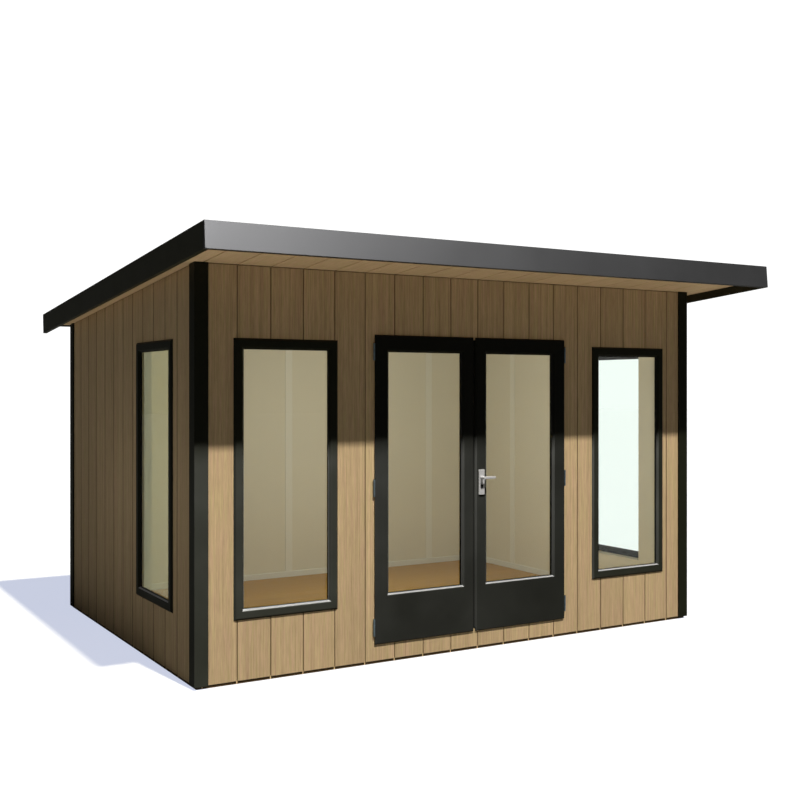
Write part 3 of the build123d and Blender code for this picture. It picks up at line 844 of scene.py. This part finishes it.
def glazing_strips(whole, sight, glass, level, sizes):
    """The rubber round a pane, and a pale strip of painted highlight on the splay under it."""
    (left, right), (foot, _) = sight
    width = sizes.gasket
    outer, inner = rectangle(*sight, -width), rectangle(*sight, width)
    add_shape(whole, flat_ring(outer, inner, glass, glass + width / 2), material=1)
    # The pale strip on the splay paints the sun's highlight there.
    near, far = sizes.strip_inset, sizes.strip_inset + sizes.strip_width
    mitre = math.sqrt(0.5)
    strip = flat_face([(left - near * mitre, -near), (right + near * mitre, -near),
                       (right + far * mitre, -far), (left - far * mitre, -far)])
    raise_faces(strip, strip.faces[:], sizes.strip_thickness)
    face_out(strip)
    place = Matrix.Translation((0.0, foot, level)) @ Matrix.Rotation(math.radians(-45), 4, "X")
    add_shape(whole, strip, place, material=2)


def window_shapes(x_range, y_range, depths, sizes):
    """Splayed flange, body and glazing strips of one window, with Z out from the boards."""
    whole = bmesh.new()
    body_depth, glass_front, glass_back = depths
    splay, proud = sizes.frame_splay, sizes.window_proud
    sight = (shrunk(x_range, sizes.window_stile),
             (y_range[0] + sizes.window_bottom_rail, y_range[1] - sizes.window_top_rail))
    body = rectangle(x_range, y_range, sizes.window_lap + sizes.body_fit)
    rebate = rectangle(*sight, -sizes.glass_rebate)
    shape = nested_frame([
        (body, -body_depth), (body, 0.0), ((x_range, y_range), 0.0),
        ((x_range, y_range), proud - splay), (rectangle(x_range, y_range, splay), proud),
        (rectangle(*sight, -splay), proud), (sight, proud - splay), (sight, -glass_front),
        (rebate, -glass_front), (rebate, -glass_back), (sight, -glass_back),
        (sight, -body_depth),
    ])
    soften(shape, sizes.arris, 1)
    add_shape(whole, shape)
    glazing_strips(whole, sight, -glass_front, proud - splay, sizes)
    return whole


class POD_OT_windows(bpy.types.Operator):
    """Make the four fixed windows: splayed flanges, bodies, rubber, painted highlights and panes
    """
    bl_idname = "garden_pod.windows"
    bl_label = "Windows"

    def execute(self, context):
        sizes = context.scene.pod_sizes
        glass, body = (spans("window_" + part + "_front_right")[1] for part in ("glass", "frame"))
        depths = (body[1] - BOARD_FRONT, glass[0] - BOARD_FRONT, glass[1] - BOARD_FRONT)
        for end in ("front_left", "front_right", "left", "right"):
            side = end.split("_")[0]
            distance = -BOARD_FRONT if side == "front" else SIDE_FACE
            whole = window_shapes(*drawn(side, "window_frame_" + end), depths, sizes)
            finish_piece("window_" + end, whole, ["Window paint", "Gasket rubber", "Strip metal"],
                         "window_black", "window_frame_" + end, place=wall_place(side, distance))
            paint_nodes("Clear glass", "window_glass_" + end)
        return {"FINISHED"}


# Doors -------------------------------------------

def leaf_shapes(sizes):
    """The right leaf drawn in XY with Z out from its own face."""
    whole = bmesh.new()
    glass = spans("right_door_glass")[1]
    front, back, deep = (y - LEAF_FRONT for y in (*glass, LEAF_BACK))
    (left, right), (foot, head) = lip = ((sizes.leaf_gap / 2, LEAF_X[1]), LEAF_Z)
    core = ((LEAF_X[0], right - sizes.leaf_lap - sizes.core_gap),
            shrunk(LEAF_Z, sizes.leaf_lap + sizes.core_gap))
    sight = ((left + sizes.meeting_stile, right - sizes.hinge_stile),
             (foot + sizes.leaf_bottom_rail, head - sizes.leaf_top_rail))
    rebate = rectangle(*sight, -sizes.glass_rebate)
    splay, lip_back = sizes.frame_splay, -sizes.lip_thickness
    shape = nested_frame([
        (core, -deep), (core, lip_back), (lip, lip_back), (lip, 0.0),
        (rectangle(*sight, -splay), 0.0), (sight, -splay), (sight, -front), (rebate, -front),
        (rebate, -back), (sight, -back), (sight, -deep),
    ])
    for x, y, out_x, out_y, width in (
        (left, 0.0, -1.0, 0.0, sizes.lip_splay), (right, 0.0, 1.0, 0.0, sizes.hinge_edge),
        (0.0, foot, 0.0, -1.0, sizes.lip_splay), (0.0, head, 0.0, 1.0, sizes.lip_splay),
    ):
        point = (x - out_x * width, y - out_y * width, 0.0)
        made = slice_at(shape, point, (out_x, out_y, 1.0), clear=True)
        edges = [part for part in made if isinstance(part, bmesh.types.BMEdge)]
        bmesh.ops.edgeloop_fill(shape, edges=edges)
    face_out(shape)
    soften(shape, sizes.arris, 1)
    add_shape(whole, shape)
    glazing_strips(whole, sight, -front, -splay, sizes)
    seal = sizes.gasket
    ring = flat_ring(rectangle(*core, 2 * seal), rectangle(*core, 4 * seal), -deep - seal, -deep)
    add_shape(whole, ring, material=1)
    return whole


class POD_OT_doors(bpy.types.Operator):
    """Make the two door leaves with seals, painted highlights and panes, and paint the frame"""
    bl_idname = "garden_pod.doors"
    bl_label = "Door leaves"

    def execute(self, context):
        place = wall_place("front", -LEAF_FRONT)
        for side in ("right", "left"):
            finish_piece(side + "_leaf", leaf_shapes(context.scene.pod_sizes),
                         ["Door paint", "Gasket rubber", "Strip metal"], "door_black",
                         side + "_door_leaf", body=side + "_door", place=place)
            paint_nodes("Clear glass", side + "_door_glass")
            place = Matrix.Scale(-1.0, 4, (1.0, 0.0, 0.0)) @ place
        paint_nodes("Door frame paint", "door_jamb_left", "door_jamb_right", "door_head",
                    "door_threshold")
        return {"FINISHED"}


class POD_OT_hinges(bpy.types.Operator):
    """Make the knuckle hinges of both leaves"""
    bl_idname = "garden_pod.hinges"
    bl_label = "Hinges"

    def execute(self, context):
        sizes = context.scene.pod_sizes
        height, third = sizes.hinge_height, sizes.hinge_height / 3
        radius, steps = sizes.knuckle_radius, sizes.round_steps
        slack, half_web, plate_width, flag = mm(0.5), mm(1.25), mm(20), mm(2.5)
        sheet_edge, round_edge, cap_edge, cap_height = mm(0.3), mm(0.6), mm(0.9), mm(3)
        plate_y = (BOARD_FRONT - mm(0.4), BOARD_FRONT + mm(2))
        flag_y = (LEAF_FRONT + sizes.hinge_edge, LEAF_FRONT + sizes.lip_thickness)
        vertices = frame["nodes"]["right_door_hinges"].data.vertices
        centres = []
        for level in sorted({round(vertex.co.z, 4) for vertex in vertices}):
            if not centres or level > centres[-1] + height:
                centres.append(level + third / 2 - slack)
        web_end = HINGE_X + half_web
        for i, side in ((1, "right"), (0, "left")):
            fixed, moving = bmesh.new(), bmesh.new()
            axis = Matrix.Translation(((-HINGE_X, HINGE_X)[i], HINGE_Y, 0.0))
            web_x = both_sides(HINGE_X - half_web, web_end)[i]
            plate_x = both_sides(HINGE_X - plate_width, web_end)[i]
            flag_x = both_sides(LEAF_X[1], LEAF_X[1] + flag)[i]
            for z in centres:
                low, high = z - height / 2, z + height / 2
                for z_range in ((low, low + third), (high - third, high)):
                    knuckle = round_bar(radius, z_range, steps, round_edge)
                    add_shape(fixed, knuckle, axis, smooth=True)
                    web = bar(web_x, (HINGE_Y, BOARD_FRONT), z_range, sheet_edge, 1)
                    add_shape(fixed, web)
                cap = round_bar(radius * 0.9, (high, high + cap_height), steps, cap_edge,
                                radius * 0.75)
                add_shape(fixed, cap, axis, material=1, smooth=True)
                add_shape(fixed, bar(plate_x, plate_y, (low, high), sheet_edge, 1))
                middle = (z - third / 2 + slack, z + third / 2 - slack)
                knuckle = round_bar(radius, middle, steps, round_edge)
                add_shape(moving, knuckle, axis, smooth=True)
                add_shape(moving, bar(flag_x, flag_y, middle, sheet_edge, 1))
            nodes = ("hinges_fixed",) if side == "right" else ()
            finish_piece("hinge_frame_knuckles_" + side, fixed, ["Hinge steel", "Gasket rubber"],
                         "hinge_steel", *nodes)
            finish_piece("hinge_leaf_knuckles_" + side, moving, ["Hinge steel"], "hinge_steel",
                         side + "_door_hinges", body=side + "_door")
        return {"FINISHED"}


def handle_plate(plates, place, sizes):
    """Back plate with rounded corners, two screws, a rose and a lock cylinder."""
    thick, steps = sizes.plate, sizes.round_steps
    corner, screw_inset, screw_radius = mm(4), mm(11), mm(3.6)
    lock_drop, barrel_radius, lock_proud, rose_radius = mm(50), mm(8.5), mm(4), mm(12.5)
    half_x, half_y = (PLATE_X[1] - PLATE_X[0]) / 2, (PLATE_Z[1] - PLATE_Z[0]) / 2
    shape = flat_face(round_corners((-half_x, half_x), (-half_y, half_y)))
    bevel(shape, shape.verts[:], corner, 5, "VERTICES")
    top = raise_faces(shape, shape.faces[:], thick)
    face_out(shape)
    bevel(shape, rim(top), mm(1.2), 3)
    add_shape(plates, shape, place @ Matrix.Translation((0.0, sum(PLATE_Z) / 2, 0.0)))
    for y in shrunk(PLATE_Z, screw_inset):
        there = place @ Matrix.Translation((0.0, y, 0.0))
        screw = round_bar(screw_radius, (thick - mm(1), thick + mm(0.7)), steps, mm(0.4))
        add_shape(plates, screw, there, smooth=True)
        # Each screw's slot is a thin black bar on its head: painted shade for the slot.
        slot = bar((-mm(2.6), mm(2.6)), (-mm(0.4), mm(0.4)), (thick + mm(0.2), thick + mm(0.75)))
        add_shape(plates, slot, there, material=1)
    cylinder_z = (0.0, thick + lock_proud)
    barrel = round_bar(barrel_radius, cylinder_z, steps, mm(0.8))
    lock_place = place @ Matrix.Translation((0.0, AXIS_Z - lock_drop, 0.0))
    add_shape(plates, barrel, lock_place, material=1, smooth=True)
    stem = bar((-mm(5), mm(5)), (-mm(16), 0.0), cylinder_z, mm(0.8))
    add_shape(plates, stem, lock_place, material=1)
    # The keyhole is a thin black bar on the barrel: painted shade for the keyhole.
    keyway_z = (thick + mm(3.5), thick + mm(4.1))
    keyhole_painted_shade = bar((-mm(0.8), mm(0.8)), (-mm(5), mm(5)), keyway_z)
    add_shape(plates, keyhole_painted_shade, lock_place, material=2)
    rose = round_bar(rose_radius, (thick, thick + mm(3)), steps, mm(1))
    add_shape(plates, rose, place @ Matrix.Translation((0.0, AXIS_Z, 0.0)), smooth=True)


def lever_shape(levers, place, sizes):
    """Neck and tapered lever, pointing to the hinges."""
    reach, neck_radius, neck_foot, neck_cover = sizes.lever_reach, mm(8.6), mm(11.5), mm(3)
    heel, thick, half_height, half_tip = mm(8.8), mm(11), mm(9), mm(7)
    neck = round_bar(neck_radius, (neck_foot, reach - neck_cover), sizes.round_steps, mm(0.5))
    add_shape(levers, neck, place, smooth=True)
    arm = bar((-heel, LEVER_TIP - AXIS_X), (-half_height, half_height), (reach - thick, reach))
    tip = [v for v in arm.verts if v.co.x > 0.0]
    bmesh.ops.scale(arm, vec=(1.0, half_tip / half_height, 1.0), verts=tip)
    upright = [e for e in arm.edges if all(v.co.x < 0.0 for v in e.verts)
               and abs(e.verts[0].co.z - e.verts[1].co.z) > mm(5)]
    bevel(arm, upright, mm(8), 6)
    soften(arm, mm(2.8), 3, 35.0)
    add_shape(levers, arm, place, smooth=True)


class POD_OT_handle(bpy.types.Operator):
    """Make the lever set on both faces of the right leaf"""
    bl_idname = "garden_pod.handle"
    bl_label = "Lever set"

    def execute(self, context):
        sizes = context.scene.pod_sizes
        plates, levers = bmesh.new(), bmesh.new()
        for face, out in ((LEAF_FRONT, -1), (LEAF_BACK, 1)):
            handle_plate(plates, outward((AXIS_X, face, 0.0), (-out, 0, 0), (0, out, 0)), sizes)
            lever_shape(levers, outward((AXIS_X, face, AXIS_Z), (1, 0, 0), (0, out, 0)), sizes)
        # The rubber black also gives the painted shade of the screw slots and the keyhole.
        finish_piece("handle_plates", plates, ["Handle metal", "Gasket rubber", "Gasket rubber"],
                     "satin_metal", "handle_set", body="right_door")
        finish_piece("lever_handles", levers, ["Handle metal"], "satin_metal", "door_lever",
                     body="lever")
        return {"FINISHED"}


# Trims and roof ----------------------------------

class POD_OT_corner_trims(bpy.types.Operator):
    """Make the four angle trims on the corners, cut under the sloping soffit"""
    bl_idname = "garden_pod.corner_trims"
    bl_label = "Corner trims"

    def execute(self, context):
        sizes = context.scene.pod_sizes
        leg, thick = sizes.trim_leg, sizes.trim_thickness
        for end, boards, inward in (("front", BOARD_FRONT, 1), ("back", BOARD_BACK, -1)):
            face = boards - inward * thick
            near, far = face + inward * thick, face + inward * leg
            for side, sign in (("left", -1), ("right", 1)):
                outer, inner, tip = (sign * (TRIM_SIDE - depth) for depth in (0.0, thick, leg))
                shape = flat_face([(outer, face), (outer, far), (inner, far), (inner, near),
                                   (tip, near), (tip, face)])
                top = {v for f in raise_faces(shape, shape.faces[:], 1.0) for v in f.verts}
                for vertex in shape.verts:
                    vertex.co.z = soffit_height(vertex.co.y) if vertex in top else BOARD_FOOT
                face_out(shape)
                soften(shape, sizes.paint_edge, 3)
                corner = end + "_" + side
                finish_piece("corner_angle_" + corner, shape, ["Trim paint"], "trim_black",
                             "corner_trim_" + corner)
        return {"FINISHED"}


class POD_OT_roof(bpy.types.Operator):
    """Make the fascias and the rear gutter, and finish the roof sheet"""
    bl_idname = "garden_pod.roof"
    bl_label = "Roof edge, sheet and gutter"

    def execute(self, context):
        sizes = context.scene.pod_sizes
        place, slope = roof_place(), sizes.roof_slope
        height, board = sizes.fascia_height, sizes.fascia_board
        nose, lip, rounding = sizes.fascia_nose, sizes.fascia_lip, mm(2)
        outline = [(0, 0), (nose, 0), (nose, lip), (board, lip), (board, height), (0, height)]
        front = prism(outline, (-ROOF_SIDE, ROOF_SIDE), rounding)
        plain_piece("front_fascia_board", [front], "Fascia metal", "fascia_black", "fascia_front",
                    place=place)
        run = (ROOF_BACK - ROOF_FRONT - height * math.sin(slope)) / math.cos(slope)
        for side, x_range in zip(("left", "right"), both_sides(ROOF_INNER, ROOF_SIDE)):
            face = bar(x_range, (board, run), (0.0, height), rounding)
            plain_piece(side + "_fascia_board", [face], "Side fascia paint", "fascia_black",
                        # The side fascias take a lighter black: painted light.
                        "fascia_" + side, place=place)
        paint_nodes("Roof rubber", "roof_covering")
        _, (near, far), (low, high) = spans("rear_gutter")
        wall = sizes.gutter_wall
        outline = [(near, high), (near, low), (far, low), (far, high), (far - wall, high),
                   (far - wall, low + wall), (near + wall, low + wall), (near + wall, high)]
        channel = prism(outline, (-ROOF_INNER, ROOF_INNER), mm(1))
        plain_piece("gutter_channel", [channel], "Gutter plastic", "gutter_black", "rear_gutter")
        return {"FINISHED"}


# Stage -------------------------------------------

def straight_view(tree):
    """One where the camera looks at something directly or through glass, else zero."""
    path = add_node(tree, "LightPath", {}).outputs
    straight = math_node(tree, "LESS_THAN", path["Diffuse Depth"], 0.5)
    through = math_node(tree, "MULTIPLY", path["Is Transmission Ray"], straight)
    return math_node(tree, "MAXIMUM", path["Is Camera Ray"], through)


def seen_and_thrown(tree, thrown, seen, output):
    """Joins what throws light and what a straight view sees to an output."""
    mix = add_node(tree, "MixShader", {0: straight_view(tree), 1: thrown.outputs[0],
                                       2: seen.outputs[0]})
    tree.links.new(mix.outputs[0], tree.nodes[output].inputs["Surface"])


def stage_floor_material():
    """A pale floor: bright to look at, with little light thrown back on the pod."""
    tree, shader = new_material("Stage floor")
    tree.nodes.remove(shader)
    shadow = add_node(tree, "BsdfDiffuse", {"Color": (0.35, 0.33, 0.25, 1.0)})
    glow = add_node(tree, "Emission", {"Color": (0.56, 0.60, 0.74, 1.0)})
    seen = add_node(tree, "AddShader", {0: shadow.outputs[0], 1: glow.outputs[0]})
    mirrored = add_node(tree, "LightPath", {}).outputs["Is Glossy Ray"]
    shade = mix_colour(tree, mirrored, (0.21, 0.21, 0.20, 1.0), (0.09, 0.09, 0.085, 1.0))
    seen_and_thrown(tree, add_node(tree, "BsdfDiffuse", {"Color": shade}), seen, "Material Output")


def stage_floor(scene):
    """A wide pale floor that throws no shadow."""
    stage_floor_material()
    floor = bpy.data.meshes.new("stage_floor")
    shape = bmesh.new()
    bmesh.ops.create_grid(shape, x_segments=1, y_segments=1, size=FLOOR_REACH)
    shape.to_mesh(floor)
    shape.free()
    floor.materials.append(bpy.data.materials["Stage floor"])
    piece = bpy.data.objects.new("stage_floor", floor)
    scene.collection.objects.link(piece)
    piece.visible_shadow = False


def stage_world(scene):
    """White to look at, and a faint even light on the pod."""
    world = bpy.data.worlds.new("Soft sky")
    scene.world = world
    world.use_nodes = True
    tree = world.node_tree
    sky = tree.nodes["Background"]
    sky.inputs["Color"].default_value = WHITE
    sky.inputs["Strength"].default_value = 0.05
    white = add_node(tree, "Background", {"Color": WHITE, "Strength": 1.15})
    seen_and_thrown(tree, sky, white, "World Output")


def add_lamp(scene, name, kind, back, location=(0.0, 0.0, 0.0), hidden=(), pieces=(),
             link="INCLUDE", **settings):
    """A lamp whose back points a way, hidden from some rays, on all or some of the pieces."""
    light = bpy.data.lights.new(name, kind)
    for setting, value in settings.items():
        setattr(light, setting, value)
    lamp = bpy.data.objects.new(name, light)
    lamp.location = location
    if back:
        lamp.rotation_euler = Vector(back).to_track_quat("Z", "Y").to_euler()
    for ray in hidden:
        setattr(lamp, "visible_" + ray, False)
    scene.collection.objects.link(lamp)
    if pieces:
        linked = bpy.data.collections.new(name + " pieces")
        for piece in pieces:
            linked.objects.link(bpy.data.objects[piece])
        for item in linked.collection_objects:
            item.light_linking.link_state = link
        lamp.light_linking.receiver_collection = linked
    return lamp


def stage_lamps(scene):
    """A hard sun from high in front, and soft fills and sheens for single finishes."""
    sun = add_lamp(scene, "Key", "SUN", (0.107, -1.0, 1.741), energy=5.7,
                   angle=math.radians(1.4), color=(1.0, 0.985, 0.95))
    sun.data.cycles.use_multiple_importance_sampling = False
    gloss_only = ("camera", "diffuse", "transmission")
    place = Vector((1.3, -14.0, 8.5))
    add_lamp(scene, "Sheen card", "AREA", place - Vector((-1.0, ROOF_FRONT, FRONT_WALL_TOP)),
             place, gloss_only, ["front_fascia_board"], shape="RECTANGLE", size=5.0, size_y=4.0,
             energy=1850.0)
    place = Vector((-1.85, -3.4, 5.46))
    add_lamp(scene, "Gloss lamp", "AREA", place - Vector((-1.2, BOARD_FRONT, 1.0)), place,
             gloss_only, ["window_front_left", "window_front_right", "left_leaf", "right_leaf",
                          "corner_angle_front_left"],
             size=0.18, energy=10400.0, color=(1.0, 1.0, 0.9))
    bounce = add_lamp(scene, "Ground bounce", "SUN", None, hidden=["glossy"],
                      pieces=["cladding_boards_left"], link="EXCLUDE", energy=0.88,
                      angle=math.radians(60), color=(1.0, 0.97, 0.93))
    bounce.rotation_euler = (math.pi, 0.0, 0.0)
    matt_only = ("camera", "glossy", "transmission")
    add_lamp(scene, "Side fill", "AREA", (-1.0, 0.0, 0.4), (-2.55, -0.4, 0.95), matt_only,
             shape="RECTANGLE", size=2.2, size_y=0.5, energy=1.12)
    add_lamp(scene, "Room glow", "POINT", None, (0.1, -0.3, 1.2), matt_only,
             shadow_soft_size=0.6, energy=30.0, color=(1.0, 0.97, 0.9))


class POD_OT_stage(bpy.types.Operator):
    """Set the pale floor, the lights and the camera"""
    bl_idname = "garden_pod.stage"
    bl_label = "Stage"

    def execute(self, context):
        scene = context.scene
        scene.view_settings.view_transform = "Standard"
        stage_floor(scene)
        stage_world(scene)
        stage_lamps(scene)
        lens = bpy.data.cameras.new("Viewpoint")
        lens.sensor_width, lens.lens = 36.0, 48.52
        lens.shift_x, lens.shift_y = 0.0272, -0.0141
        lens.clip_end = 200.0
        camera = bpy.data.objects.new("Viewpoint", lens)
        camera.location = (-3.8642, -6.5183, 1.6065)
        camera.rotation_euler = (math.radians(90), 0.0, math.radians(-30.29))
        scene.collection.objects.link(camera)
        scene.camera = camera
        return {"FINISHED"}


class POD_PT_pieces(bpy.types.Panel):
    """Lists the steps that build the pod"""
    bl_label = "Garden pod"
    bl_idname = "POD_PT_pieces"
    bl_space_type = "VIEW_3D"
    bl_region_type = "UI"
    bl_category = "Garden pod"

    def draw(self, context):
        for step in STEPS:
            self.layout.operator(step.bl_idname)


STEPS = (POD_OT_cladding, POD_OT_soffit, POD_OT_floor, POD_OT_lining, POD_OT_windows,
         POD_OT_doors, POD_OT_hinges, POD_OT_handle, POD_OT_corner_trims, POD_OT_roof,
         POD_OT_stage)
CLASSES = (PodSizes, PodFinishes, *STEPS, POD_PT_pieces)


def register():
    for cls in CLASSES:
        bpy.utils.register_class(cls)
    bpy.types.Scene.pod_sizes = PointerProperty(type=PodSizes)
    bpy.types.Scene.pod_finishes = PointerProperty(type=PodFinishes)


def unregister():
    del bpy.types.Scene.pod_finishes
    del bpy.types.Scene.pod_sizes
    for cls in reversed(CLASSES):
        bpy.utils.unregister_class(cls)


def main():
    register()
    make_materials(bpy.context.scene.pod_finishes)
    for step in STEPS:
        group, name = step.bl_idname.split(".")
        getattr(getattr(bpy.ops, group), name)()


if __name__ == "__main__":
    main()
